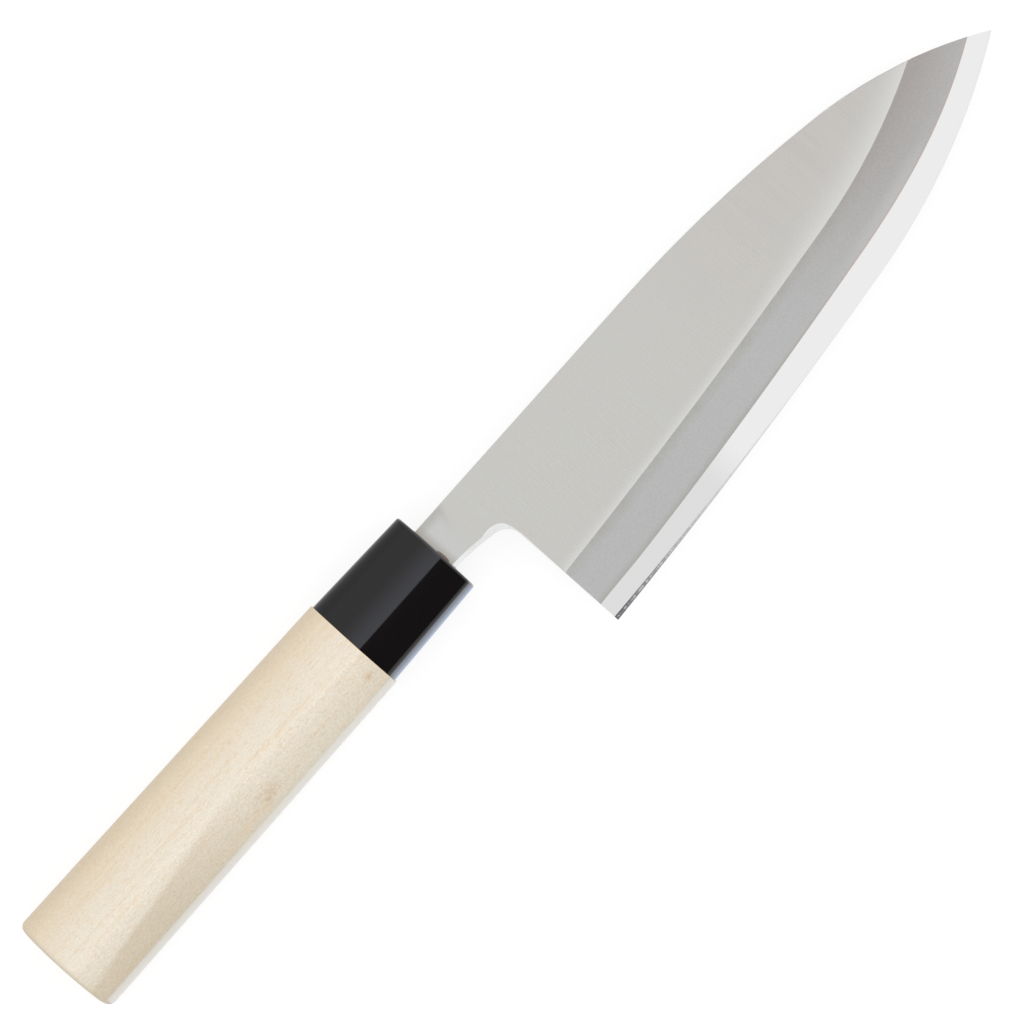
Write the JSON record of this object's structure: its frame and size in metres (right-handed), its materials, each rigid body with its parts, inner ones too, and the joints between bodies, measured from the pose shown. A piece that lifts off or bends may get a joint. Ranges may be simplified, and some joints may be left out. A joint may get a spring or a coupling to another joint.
{
  "type": "deba knife",
  "caption": "Single-bevel Japanese deba kitchen knife with a thick clad steel blade, black plastic ferrule and plain chestnut-shaped wooden handle.",
  "frame": {"origin": "on the ground, under the middle of the knife's box, as it lies on its back with its straight axes level", "axes": "+X from the butt to the tip, +Y from the cutting edge to the spine, +Z from the flat back to the bevelled front face"},
  "size_m": [0.3158, 0.058, 0.024],
  "materials": {
    "satin_cladding_steel": "satin, brushed across the blade, with a bead-blasted bevel",
    "polished_cutting_steel": "finely polished",
    "black_ferrule_plastic": "glossy, as moulded",
    "pale_magnolia": "sanded bare wood",
    "brown_resin": "cured, slightly glossy",
    "bedding_resin": "cured, dull"
  },
  "bodies": {
    "root": {"blade_cladding": "satin_cladding_steel", "cutting_steel": "polished_cutting_steel", "ferrule": "black_ferrule_plastic", "handle_grip": "pale_magnolia", "tang_bedding": "bedding_resin", "mouth_seal": "brown_resin"}
  },
  "joints": []
}
